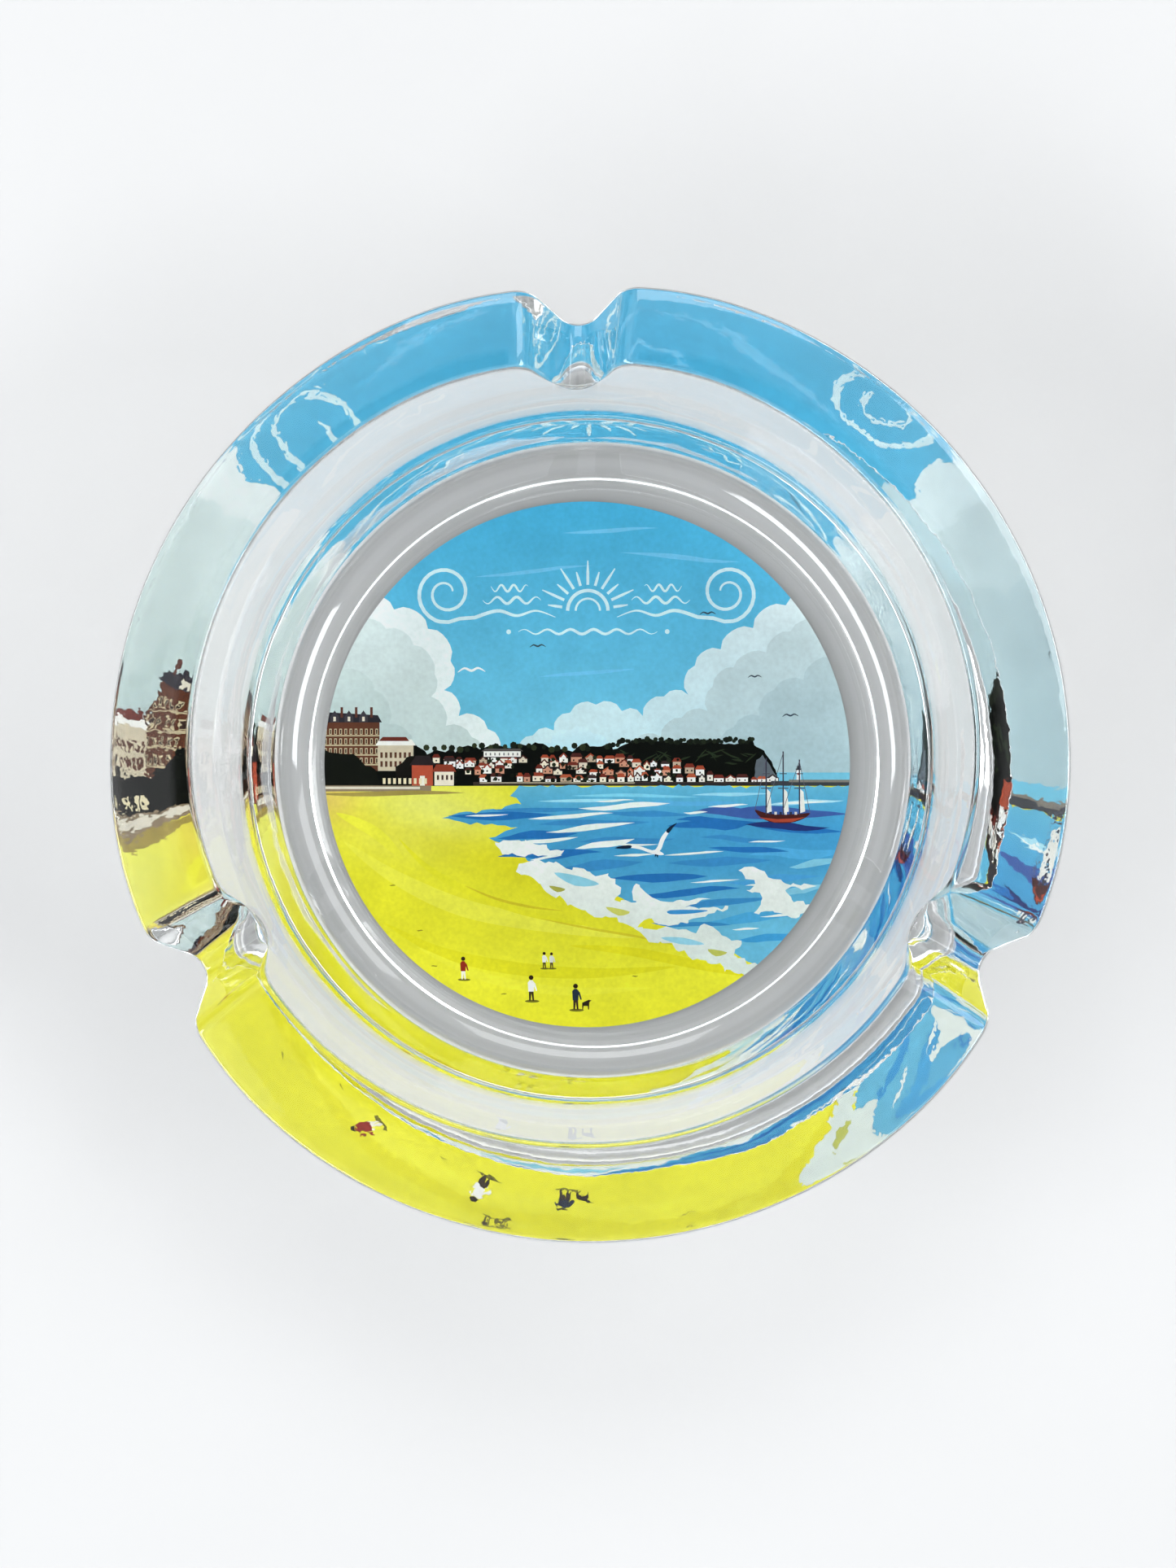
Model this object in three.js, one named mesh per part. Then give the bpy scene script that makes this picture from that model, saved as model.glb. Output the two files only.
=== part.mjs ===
// Round pressed-glass ashtray with three cigarette rests and a printed picture disc under its base.
// Units are millimetres, +Z is up, and the origin is the centre of the flat foot that the glass stands on.
// The glass is one casting: a lathe section whose rim is lowered locally to form the three troughs.
// The picture is a stack of thin discs bonded into a shallow recess in the underside.
import * as THREE from "three";

// ---- driving dimensions ----
const HEIGHT = 28.73; // foot to the inner edge line of the rim
const RIM_OUTER_R = 53.1; // outer wall line carried up to the rim, before its edge is rounded
const RIM_INNER_R = 42.8; // inner wall line carried up to the rim
const RIM_FALL = 1.1; // the outer edge of the rim stands this much lower than the inner edge
const RIM_CROWN = 0.5; // the rim's top face swells by this much between its two edges
const OUTER_EDGE_ROUND = 1.3;
const INNER_EDGE_ROUND = 1.3;
const FOOT_R = 44.2; // outer wall line carried down to the foot
const FOOT_ROUND = 1.3;
const WALL_KNEE = { r: 45.2, z: 9.0, round: 17.5 }; // where the steep lower wall turns to the flared upper wall
const BOWL_KNEE = { r: 41.6, z: 23.4, round: 8.0 }; // where the inner wall eases into the bowl
const FLOOR_THICKNESS = 9.8; // at the edge of the floor
const BOWL_R = 35.8; // inner wall line carried down to the floor
const BOWL_ROUND = 5.4; // fillet between the floor and the inner wall
const FLOOR_SAG = 1.1; // the pressed floor is this much lower at its centre
const BOWL_SHIFT_AT_RIM = [-0.7, 1.2]; // the pressing plunger stood off the mould's axis: [x, y] at the rim
const BOWL_SHIFT_AT_FLOOR = [0.3, 0.4]; // and at the floor
const RECESS_R = 34.8; // shallow recess in the underside that takes the picture
const RECESS_DEPTH = 0.8;
const RECESS_STEP = 0.6; // the recess wall leans out by this much

const REST_ANGLES = [91.4, 207.8, 333.2]; // cigarette rests, degrees anticlockwise from +X
const TROUGH_DEPTH = 6.6;
const REST_BOTTOM_ROUND = 2.3; // trough bottom radius
const REST_SHOULDER_ROUND = 3.2; // radius where the trough meets the rim
const REST_SIDE_SLOPE = 58; // degrees from the horizontal
const RIM_DIP = 0.8; // the rim also sinks gently towards each rest
const RIM_DIP_RUN = 17.0; // lateral distance over which it does
const REST_STRAIGHT_FROM_R = 36.0; // outside this radius the trough runs parallel to its own axis

const PICTURE_R = 31.75; // printed disc
const PICTURE_CENTRE = [-0.8, 0]; // the disc was stuck slightly off centre in its recess
const ADHESIVE = 0.1; // clear adhesive
const FILM = 0.15; // printed film
const BACKING = 0.25; // white protective film

const rad = THREE.MathUtils.degToRad;

// ---- cigarette rest ----
// Drop of the rim at a lateral distance u from the trough's centre line.
const side = rad(REST_SIDE_SLOPE);
const restBottomEnd = REST_BOTTOM_ROUND * Math.sin(side);
const restStraightDrop = TROUGH_DEPTH - (REST_BOTTOM_ROUND + REST_SHOULDER_ROUND) * (1 - Math.cos(side));
const restStraightRun = restStraightDrop / Math.tan(side);
const REST_HALF_WIDTH = restBottomEnd + restStraightRun + REST_SHOULDER_ROUND * Math.sin(side);
function troughDrop(a) {
  if (a >= REST_HALF_WIDTH) return 0;
  if (a <= restBottomEnd) return TROUGH_DEPTH - (REST_BOTTOM_ROUND - Math.sqrt(REST_BOTTOM_ROUND ** 2 - a * a));
  const straightStart = REST_BOTTOM_ROUND * (1 - Math.cos(side));
  if (a <= restBottomEnd + restStraightRun) return TROUGH_DEPTH - straightStart - (a - restBottomEnd) * Math.tan(side);
  const b = REST_HALF_WIDTH - a;
  return REST_SHOULDER_ROUND - Math.sqrt(REST_SHOULDER_ROUND ** 2 - b * b);
}
function restDrop(u) {
  const a = Math.abs(u);
  return troughDrop(a) + (RIM_DIP * (1 + Math.cos(Math.PI * Math.min(1, a / RIM_DIP_RUN)))) / 2;
}

// ---- half section of the glass for a local rim height ----
// A corner with a radius becomes an arc of `steps` pieces; every section has the same number of points.
// Each point is [radius, height, weight], where the weight says how far it follows the bowl's offset.
function arc(before, at, after, radius, steps) {
  const a = new THREE.Vector2(before[0] - at[0], before[1] - at[1]);
  const b = new THREE.Vector2(after[0] - at[0], after[1] - at[1]);
  const la = a.length(), lb = b.length();
  a.divideScalar(la);
  b.divideScalar(lb);
  const half = Math.acos(THREE.MathUtils.clamp(a.dot(b), -1, 1)) / 2;
  const cut = Math.min(radius / Math.tan(half), 0.48 * la, 0.48 * lb);
  const r = cut * Math.tan(half);
  const bisector = a.clone().add(b).normalize();
  const centre = new THREE.Vector2(at[0], at[1]).addScaledVector(bisector, r / Math.sin(half));
  const start = new THREE.Vector2(at[0], at[1]).addScaledVector(a, cut).sub(centre);
  const end = new THREE.Vector2(at[0], at[1]).addScaledVector(b, cut).sub(centre);
  const from = Math.atan2(start.y, start.x);
  let turn = Math.atan2(end.y, end.x) - from;
  while (turn > Math.PI) turn -= 2 * Math.PI;
  while (turn < -Math.PI) turn += 2 * Math.PI;
  return Array.from({ length: steps + 1 }, (_, i) => [
    centre.x + r * Math.cos(from + (turn * i) / steps),
    centre.y + r * Math.sin(from + (turn * i) / steps),
  ]);
}
const along = (p, q, z) => p[0] + ((q[0] - p[0]) * (z - p[1])) / (q[1] - p[1]);
function section(height) {
  const foot = [FOOT_R, 0];
  const wallKnee = [WALL_KNEE.r, WALL_KNEE.z];
  const bowlKnee = [BOWL_KNEE.r, BOWL_KNEE.z];
  const bowl = [BOWL_R, FLOOR_THICKNESS];
  const outerTop = [RIM_OUTER_R, HEIGHT - RIM_FALL];
  const innerTop = [RIM_INNER_R, HEIGHT];
  const outer = [along(wallKnee, outerTop, height - RIM_FALL), height - RIM_FALL];
  const inner = [along(bowlKnee, innerTop, height), height];
  const crown = [0.25, 0.5, 0.75].map((t) => [
    outer[0] + (inner[0] - outer[0]) * t,
    outer[1] + (inner[1] - outer[1]) * t + RIM_CROWN * 4 * t * (1 - t),
  ]);
  const floorAt = (r) => [r, FLOOR_THICKNESS - FLOOR_SAG * (1 - (r / BOWL_R) ** 2)];
  const mould = [
    [RECESS_R, RECESS_DEPTH],
    [RECESS_R + RECESS_STEP, 0],
    ...arc([RECESS_R + RECESS_STEP, 0], foot, wallKnee, FOOT_ROUND, 3),
    ...arc(foot, wallKnee, outer, WALL_KNEE.round, 3),
  ];
  const rim = [...arc(wallKnee, outer, crown[0], OUTER_EDGE_ROUND, 4), ...crown, ...arc(crown[2], inner, bowlKnee, INNER_EDGE_ROUND, 4)];
  const plunger = [
    ...arc(inner, bowlKnee, bowl, BOWL_KNEE.round, 2),
    ...arc(bowlKnee, bowl, floorAt(BOWL_R * 0.72), BOWL_ROUND, 4),
    floorAt(BOWL_R * 0.72),
    floorAt(BOWL_R * 0.36),
  ];
  return [
    ...mould.map(([r, z]) => [r, z, 0]),
    ...rim.map(([r, z]) => [r, z, THREE.MathUtils.clamp((outer[0] - r) / (outer[0] - inner[0]), 0, 1)]),
    ...plunger.map(([r, z]) => [r, z, 1]),
  ];
}
function bowlShift(z, weight) {
  const t = THREE.MathUtils.clamp((z - FLOOR_THICKNESS) / (HEIGHT - FLOOR_THICKNESS), 0, 1);
  return [0, 1].map((i) => weight * THREE.MathUtils.lerp(BOWL_SHIFT_AT_FLOOR[i], BOWL_SHIFT_AT_RIM[i], t));
}

// ---- columns round the rim ----
// Angles from the nearest rest, at the radius where the trough starts to run straight.
const smooth = (t) => t * t * (3 - 2 * t);
const reach = Math.asin(REST_HALF_WIDTH / REST_STRAIGHT_FROM_R);
const restU = [0, 0.15, 0.27, 0.4, 0.52, 0.63, 0.74, 0.83, 0.92, 1].map((t) => t * REST_HALF_WIDTH);
const BETWEEN = 7; // columns between a rest's shoulder and the middle of the plain rim
const columns = [];
REST_ANGLES.forEach((angle, k) => {
  const next = REST_ANGLES[(k + 1) % REST_ANGLES.length];
  const previous = REST_ANGLES[(k + REST_ANGLES.length - 1) % REST_ANGLES.length];
  const spans = [angle - previous, next - angle].map((d) => rad(THREE.MathUtils.euclideanModulo(d, 360)) / 2);
  const half = (span) => [
    ...restU.map((u) => Math.asin(u / REST_STRAIGHT_FROM_R)),
    ...Array.from({ length: BETWEEN }, (_, i) => reach + ((span - reach) * (i + 1)) / BETWEEN),
  ];
  for (const phi of half(spans[0]).slice(1, -1).reverse()) columns.push({ centre: rad(angle), phi: -phi, span: spans[0] });
  for (const phi of half(spans[1])) columns.push({ centre: rad(angle), phi, span: spans[1] });
});
function place({ centre, phi, span }, r) {
  if (r <= REST_STRAIGHT_FROM_R) return centre + phi;
  const straight = Math.asin((REST_STRAIGHT_FROM_R * Math.sin(phi)) / r);
  const a = Math.abs(phi);
  const weight = a <= reach ? 1 : 1 - smooth((a - reach) / (span - reach));
  return centre + phi + weight * (straight - phi);
}

function glassGeometry() {
  const rings = columns.map((c) => {
    const drop = restDrop(REST_STRAIGHT_FROM_R * Math.sin(c.phi));
    return section(HEIGHT - drop).map(([r, z, weight]) => {
      const t = place(c, r);
      const [dx, dy] = bowlShift(z, weight);
      return [r * Math.cos(t) + dx, r * Math.sin(t) + dy, z];
    });
  });
  const rows = rings[0].length;
  const positions = rings.flat(2);
  const bottom = rings.length * rows;
  const top = bottom + 1;
  positions.push(0, 0, RECESS_DEPTH, ...BOWL_SHIFT_AT_FLOOR, FLOOR_THICKNESS - FLOOR_SAG);
  const index = [];
  for (let j = 0; j < rings.length; j++) {
    const a = j * rows;
    const b = ((j + 1) % rings.length) * rows;
    index.push(bottom, b, a);
    for (let i = 0; i < rows - 1; i++) index.push(a + i, b + i, b + i + 1, a + i, b + i + 1, a + i + 1);
    index.push(top, a + rows - 1, b + rows - 1);
  }
  const g = new THREE.BufferGeometry();
  g.setAttribute("position", new THREE.Float32BufferAttribute(positions, 3));
  g.setIndex(index);
  g.computeVertexNormals();
  return g;
}

// ---- picture stack ----
// A flat disc from z = bottom to z = top.
function disc(radius, bottom, top) {
  const profile = [[0, bottom], [radius, bottom], [radius, top], [0, top]].map(([x, y]) => new THREE.Vector2(x, y));
  const g = new THREE.LatheGeometry(profile, 96);
  g.rotateX(Math.PI / 2);
  g.translate(...PICTURE_CENTRE, 0);
  return g;
}

const ashtray = new THREE.Group();
function add(name, geometry, material) {
  const mesh = new THREE.Mesh(geometry, material);
  mesh.name = name;
  ashtray.add(mesh);
}
const filmTop = RECESS_DEPTH - ADHESIVE;
const filmBottom = filmTop - FILM;
add("glass_body", glassGeometry(), new THREE.MeshStandardMaterial({ color: 0xdfeae8, roughness: 0.03, metalness: 0, transparent: true, opacity: 0.35 }));
add("clear_adhesive_layer", disc(PICTURE_R, filmTop, RECESS_DEPTH), new THREE.MeshStandardMaterial({ color: 0xf2f4f2, roughness: 0.3, metalness: 0, transparent: true, opacity: 0.4 }));
add("picture_print_film", disc(PICTURE_R, filmBottom, filmTop), new THREE.MeshStandardMaterial({ color: 0x5aa9d6, roughness: 0.5, metalness: 0 }));
add("white_backing_film", disc(PICTURE_R, filmBottom - BACKING, filmBottom), new THREE.MeshStandardMaterial({ color: 0xf1f0ea, roughness: 0.6, metalness: 0 }));

export default ashtray;
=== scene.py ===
"""Clear pressed-glass ashtray with a seaside picture disc bonded under its base."""
import math
import random

import bmesh
import bpy
import numpy as np
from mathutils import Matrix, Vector, noise
from mathutils.geometry import delaunay_2d_cdt


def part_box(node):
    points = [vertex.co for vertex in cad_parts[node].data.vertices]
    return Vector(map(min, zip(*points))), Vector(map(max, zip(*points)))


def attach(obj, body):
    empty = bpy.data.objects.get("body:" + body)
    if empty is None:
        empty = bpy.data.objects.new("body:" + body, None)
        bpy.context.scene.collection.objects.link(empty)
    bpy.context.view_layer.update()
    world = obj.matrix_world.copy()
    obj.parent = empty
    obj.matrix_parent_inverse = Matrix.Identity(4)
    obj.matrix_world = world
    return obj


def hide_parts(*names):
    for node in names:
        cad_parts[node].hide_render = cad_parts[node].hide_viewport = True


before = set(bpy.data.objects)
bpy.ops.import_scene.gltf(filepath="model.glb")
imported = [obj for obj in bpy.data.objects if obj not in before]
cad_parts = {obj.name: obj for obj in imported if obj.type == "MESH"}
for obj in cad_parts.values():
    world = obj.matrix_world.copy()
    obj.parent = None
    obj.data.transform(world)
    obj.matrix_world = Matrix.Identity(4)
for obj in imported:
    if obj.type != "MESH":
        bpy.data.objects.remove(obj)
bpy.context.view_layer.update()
MM = 0.001
glass_low, glass_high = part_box("glass_body")
adhesive_low, adhesive_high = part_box("clear_adhesive_layer")
film_low, film_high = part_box("picture_print_film")
backing_low, backing_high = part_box("white_backing_film")

# ------------------------------------------------------------------ camera
# The eye is 268 mm above the table, almost straight above the dish, and the dish sits a little above the middle of the frame.
cam_data = bpy.data.cameras.new("camera")
cam_data.sensor_fit = "HORIZONTAL"
cam_data.sensor_width = 36.0
cam_data.lens = 36.0 * 2704.0 / 1445.0
cam_data.clip_start = 0.01
cam_data.clip_end = 100.0
camera = bpy.data.objects.new("camera", cam_data)
bpy.context.scene.collection.objects.link(camera)
camera.location = (0.006, -0.00235, 0.268)
camera.rotation_euler = (0.0, math.atan2(0.006, 0.241), 0.0)
bpy.context.scene.camera = camera


# ------------------------------------------------------------------ helpers
def linear(hexa):
    """A linear RGB triple from a hex colour."""
    out = []
    for i in (0, 2, 4):
        c = int(hexa[i : i + 2], 16) / 255
        out.append(c / 12.92 if c <= 0.04045 else ((c + 0.055) / 1.055) ** 2.4)
    return tuple(out)


def mix(a, b, t):
    t = min(1.0, max(0.0, t))
    return tuple(x + (y - x) * t for x, y in zip(a, b))


def new_object(name, mesh):
    ob = bpy.data.objects.new(name, mesh)
    bpy.context.scene.collection.objects.link(ob)
    return ob


def node(nt, kind, **values):
    n = nt.nodes.new(kind)
    for key, value in values.items():
        if key in n.inputs:
            n.inputs[key].default_value = value
        else:
            setattr(n, key, value)
    return n


def material(name):
    m = bpy.data.materials.new(name)
    m.use_nodes = True
    return m, m.node_tree, m.node_tree.nodes["Principled BSDF"]


# ------------------------------------------------------------------ the glass
# The same section as the CAD body, with finer arcs and columns, and the slight waviness of pressed glass.
HEIGHT, RIM_OUTER_R, RIM_INNER_R, RIM_FALL, RIM_CROWN = 28.73, 53.1, 42.8, 1.1, 0.5
OUTER_EDGE, INNER_EDGE = 1.3, 1.3
FOOT_R, FOOT_ROUND = 44.2, 1.3
WALL_KNEE, WALL_ROUND = (45.2, 9.0), 17.5
BOWL_KNEE, BOWL_KNEE_ROUND = (41.6, 23.4), 8.0
FLOOR_T, FLOOR_SAG, BOWL_R, BOWL_ROUND = 9.8, 1.1, 35.8, 5.4
SHIFT_RIM, SHIFT_FLOOR = (-0.7, 1.2), (0.3, 0.4)
RECESS_R, RECESS_DEPTH, RECESS_STEP = 34.8, 0.8, 0.6
REST_ANGLES = [math.radians(a) for a in (91.4, 207.8, 333.2)]
TROUGH_DEPTH, REST_BOTTOM, REST_SHOULDER, REST_SIDE = 6.6, 2.3, 3.2, math.radians(58)
RIM_DIP, RIM_DIP_RUN = 0.8, 17.0
STRAIGHT_R = 36.0

bottom_end = REST_BOTTOM * math.sin(REST_SIDE)
straight_drop = TROUGH_DEPTH - (REST_BOTTOM + REST_SHOULDER) * (1 - math.cos(REST_SIDE))
straight_run = straight_drop / math.tan(REST_SIDE)
HALF_WIDTH = bottom_end + straight_run + REST_SHOULDER * math.sin(REST_SIDE)


def trough_drop(a):
    if a >= HALF_WIDTH:
        return 0.0
    if a <= bottom_end:
        return TROUGH_DEPTH - (REST_BOTTOM - math.sqrt(REST_BOTTOM**2 - a * a))
    if a <= bottom_end + straight_run:
        return TROUGH_DEPTH - REST_BOTTOM * (1 - math.cos(REST_SIDE)) - (a - bottom_end) * math.tan(REST_SIDE)
    b = HALF_WIDTH - a
    return REST_SHOULDER - math.sqrt(REST_SHOULDER**2 - b * b)


def rest_drop(u):
    a = abs(u)
    return trough_drop(a) + RIM_DIP * (1 + math.cos(math.pi * min(1.0, a / RIM_DIP_RUN))) / 2


def arc(before, at, after, radius, steps):
    ax, ay = before[0] - at[0], before[1] - at[1]
    bx, by = after[0] - at[0], after[1] - at[1]
    la, lb = math.hypot(ax, ay), math.hypot(bx, by)
    ax, ay, bx, by = ax / la, ay / la, bx / lb, by / lb
    half = math.acos(max(-1, min(1, ax * bx + ay * by))) / 2
    cut = min(radius / math.tan(half), 0.48 * la, 0.48 * lb)
    r = cut * math.tan(half)
    mx, my = ax + bx, ay + by
    lm = math.hypot(mx, my)
    cx, cy = at[0] + mx / lm * r / math.sin(half), at[1] + my / lm * r / math.sin(half)
    t0 = math.atan2(at[1] + ay * cut - cy, at[0] + ax * cut - cx)
    t1 = math.atan2(at[1] + by * cut - cy, at[0] + bx * cut - cx)
    turn = (t1 - t0 + math.pi) % (2 * math.pi) - math.pi
    return [(cx + r * math.cos(t0 + turn * i / steps), cy + r * math.sin(t0 + turn * i / steps)) for i in range(steps + 1)]


def between(p, q, n):
    """n points strictly between p and q."""
    return [(p[0] + (q[0] - p[0]) * i / (n + 1), p[1] + (q[1] - p[1]) * i / (n + 1)) for i in range(1, n + 1)]


def at_height(p, q, z):
    return p[0] + (q[0] - p[0]) * (z - p[1]) / (q[1] - p[1])


def section(height):
    """Half section from just off the axis under the base, round the rim, to just off the axis on the floor. Each row is a point, how wavy it may be, and how far it follows the bowl's offset."""
    foot, bowl = (FOOT_R, 0.0), (BOWL_R, FLOOR_T)
    outer_top, inner_top = (RIM_OUTER_R, HEIGHT - RIM_FALL), (RIM_INNER_R, HEIGHT)
    outer = (at_height(WALL_KNEE, outer_top, height - RIM_FALL), height - RIM_FALL)
    inner = (at_height(BOWL_KNEE, inner_top, height), height)
    crown = [(outer[0] + (inner[0] - outer[0]) * t, outer[1] + (inner[1] - outer[1]) * t + RIM_CROWN * 4 * t * (1 - t)) for t in [i / 20 for i in range(3, 18)]]
    floor_at = lambda r: (r, FLOOR_T - FLOOR_SAG * (1 - (r / BOWL_R) ** 2))
    step_in, step_out = (RECESS_R, RECESS_DEPTH), (RECESS_R + RECESS_STEP, 0.0)
    mould = [((r, RECESS_DEPTH), 0.0) for r in (4, 10, 16, 22, 28, 32)]
    mould += [(p, 0.0) for p in arc((32, RECESS_DEPTH), step_in, step_out, 0.22, 4)]
    mould += [(p, 0.0) for p in arc(step_in, step_out, foot, 0.22, 4)]
    mould += [(p, 0.0) for p in between(step_out, foot, 3)]
    foot_arc = arc(step_out, foot, WALL_KNEE, FOOT_ROUND, 8)
    knee_arc = arc(foot, WALL_KNEE, outer, WALL_ROUND, 8)
    edge_arc = arc(WALL_KNEE, outer, crown[0], OUTER_EDGE, 10)
    mould += [(p, 0.0) for p in foot_arc]
    mould += [(p, 1.0) for p in between(foot_arc[-1], knee_arc[0], 4)]
    mould += [(p, 1.0) for p in knee_arc]
    mould += [(p, 1.0) for p in between(knee_arc[-1], edge_arc[0], 9)]
    inner_arc = arc(crown[-1], inner, BOWL_KNEE, INNER_EDGE, 10)
    rim = [(p, 0.8) for p in edge_arc] + [(p, 1.0) for p in crown] + [(p, 0.8) for p in inner_arc]
    bowl_knee = arc(inner, BOWL_KNEE, bowl, BOWL_KNEE_ROUND, 5)
    fillet = arc(BOWL_KNEE, bowl, floor_at(28.0), BOWL_ROUND, 14)
    plunger = [(p, 0.8) for p in between(inner_arc[-1], bowl_knee[0], 3)]
    plunger += [(p, 0.8) for p in bowl_knee]
    plunger += [(p, 0.8) for p in between(bowl_knee[-1], fillet[0], 8)]
    plunger += [(p, 0.7) for p in fillet]
    plunger += [(floor_at(r), 0.6) for r in (31, 29, 27, 25, 22.5, 20, 17.5, 15, 12.5, 10, 7.5, 5, 2.5)]
    rows = [(p, w, 0.0) for p, w in mould]
    rows += [(p, w, min(1.0, max(0.0, (outer[0] - p[0]) / (outer[0] - inner[0])))) for p, w in rim]
    return rows + [(p, w, 1.0) for p, w in plunger]


def bowl_shift(z, weight):
    t = min(1.0, max(0.0, (z - FLOOR_T) / (HEIGHT - FLOOR_T)))
    return [weight * (a + (b - a) * t) for a, b in zip(SHIFT_FLOOR, SHIFT_RIM)]


reach = math.asin(HALF_WIDTH / STRAIGHT_R)
NOTCH, PLAIN = 40, 96
columns = []
for k, centre in enumerate(REST_ANGLES):
    before, after = ((centre - REST_ANGLES[k - 1]) % (2 * math.pi)) / 2, ((REST_ANGLES[(k + 1) % 3] - centre) % (2 * math.pi)) / 2
    half = lambda span: [math.asin(HALF_WIDTH * i / NOTCH / STRAIGHT_R) for i in range(NOTCH + 1)] + [reach + (span - reach) * i / PLAIN for i in range(1, PLAIN + 1)]
    columns += [(centre, -phi, before) for phi in half(before)[1:-1][::-1]]
    columns += [(centre, phi, after) for phi in half(after)]


def place(centre, phi, span, r):
    if r <= STRAIGHT_R:
        return centre + phi
    straight = math.asin(STRAIGHT_R * math.sin(phi) / r)
    a = abs(phi)
    t = 0.0 if a <= reach else (a - reach) / (span - reach)
    return centre + phi + (1 - t * t * (3 - 2 * t)) * (straight - phi)


def build_glass():
    sections = {}
    rows = None
    co = []
    wave = []
    for centre, phi, span in columns:
        drop = rest_drop(STRAIGHT_R * math.sin(phi))
        key = round(drop, 6)
        if key not in sections:
            sections[key] = section(HEIGHT - drop)
        rows = sections[key]
        for (r, z), w, follow in rows:
            t = place(centre, phi, span, r)
            dx, dy = bowl_shift(z, follow)
            co.append((r * math.cos(t) + dx, r * math.sin(t) + dy, z))
            wave.append(w)
    nr, nc = len(rows), len(columns)
    under, over = len(co), len(co) + 1
    co += [(0, 0, RECESS_DEPTH), (*SHIFT_FLOOR, FLOOR_T - FLOOR_SAG)]
    wave += [0.0, 0.6]
    faces = []
    for j in range(nc):
        a, b = j * nr, ((j + 1) % nc) * nr
        faces.append((under, b, a))
        faces += [(a + i, b + i, b + i + 1, a + i + 1) for i in range(nr - 1)]
        faces.append((over, a + nr - 1, b + nr - 1))
    mesh = bpy.data.meshes.new("glass_body")
    mesh.from_pydata(co, [], faces)
    mesh.update()
    normals = np.empty(len(co) * 3, dtype=np.float32)
    mesh.vertices.foreach_get("normal", normals)
    normals = normals.reshape(-1, 3)
    points = np.array(co, dtype=np.float64)
    # Two sizes of ripple: slow waves from the press and a finer one from the cooled skin.
    for i, w in enumerate(wave):
        if w:
            p = Vector(co[i])
            slow = noise.noise(p * 0.085 + Vector((3.1, 7.7, 1.3)))
            quick = noise.noise(p * 0.33 + Vector((11.0, 2.0, 5.0)))
            points[i] += normals[i] * w * (0.055 * slow + 0.008 * quick)
    points[:, 2] = np.clip(points[:, 2], 0.0, None)
    points *= MM
    # The true circle is a hair wider than the CAD polygon, so it is brought inside the CAD box.
    fit = min(glass_high[0] / points[:, 0].max(), glass_low[0] / points[:, 0].min(), glass_high[1] / points[:, 1].max(), glass_low[1] / points[:, 1].min())
    points[:, :2] *= min(1.0, fit)
    points[:, 2] *= min(1.0, glass_high[2] / points[:, 2].max())
    mesh.vertices.foreach_set("co", points.astype(np.float32).ravel())
    mesh.polygons.foreach_set("use_smooth", [True] * len(mesh.polygons))
    mesh.update()
    return new_object("clear_glass_dish", mesh)


glass = build_glass()
glass_mat, nt, bsdf = material("clear_pressed_glass")
bsdf.inputs["Base Color"].default_value = (0.985, 0.995, 0.99, 1)
bsdf.inputs["Roughness"].default_value = 0.0
bsdf.inputs["IOR"].default_value = 1.52
bsdf.inputs["Transmission Weight"].default_value = 1.0
# Above the bowl floor the pressed skin has a fine upright grain a millimetre or so across.
where = node(nt, "ShaderNodeTexCoord")
stretch = node(nt, "ShaderNodeVectorMath", operation="MULTIPLY")
stretch.inputs[1].default_value = (1.0, 1.0, 0.3)
skin = node(nt, "ShaderNodeTexNoise", Scale=620.0, Detail=2.0, Roughness=0.55)
apart = node(nt, "ShaderNodeSeparateXYZ")
walls = node(nt, "ShaderNodeMapRange", interpolation_type="SMOOTHSTEP")
walls.inputs["From Min"].default_value, walls.inputs["From Max"].default_value = 0.0115, 0.015
bump = node(nt, "ShaderNodeBump", Strength=1.0)
bump.inputs["Distance"].default_value = 0.000012
part = node(nt, "ShaderNodeMath", operation="MULTIPLY")
for a, b in (
    (where.outputs["Object"], stretch.inputs[0]),
    (stretch.outputs["Vector"], skin.inputs["Vector"]),
    (where.outputs["Object"], apart.inputs["Vector"]),
    (apart.outputs["Z"], walls.inputs["Value"]),
    (walls.outputs["Result"], part.inputs[0]),
    (skin.outputs["Fac"], part.inputs[1]),
    (part.outputs["Value"], bump.inputs["Height"]),
    (bump.outputs["Normal"], bsdf.inputs["Normal"]),
):
    nt.links.new(a, b)
glass.data.materials.append(glass_mat)
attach(glass, "root")
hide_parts("glass_body")


# ------------------------------------------------------------------ the picture
# A flat illustration of a made-up bay, drawn as overlapping shapes in a frame 325 units in radius, u to the right and v up.
# Later shapes cover earlier ones. Where the original carries lettering, this one has a plain sunrise-and-waves ornament.
PIC = 325.0
shapes = []


def fill(colour):
    """A colour function from a hex colour, a vertical gradient (top hex, top v, bottom hex, bottom v), or a function of u and v."""
    if isinstance(colour, str):
        c = linear(colour)
        return lambda u, v: c
    if isinstance(colour, tuple):
        top, v1, low, v0 = linear(colour[0]), colour[1], linear(colour[2]), colour[3]
        return lambda u, v: mix(low, top, (v - v0) / (v1 - v0))
    return colour


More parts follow.
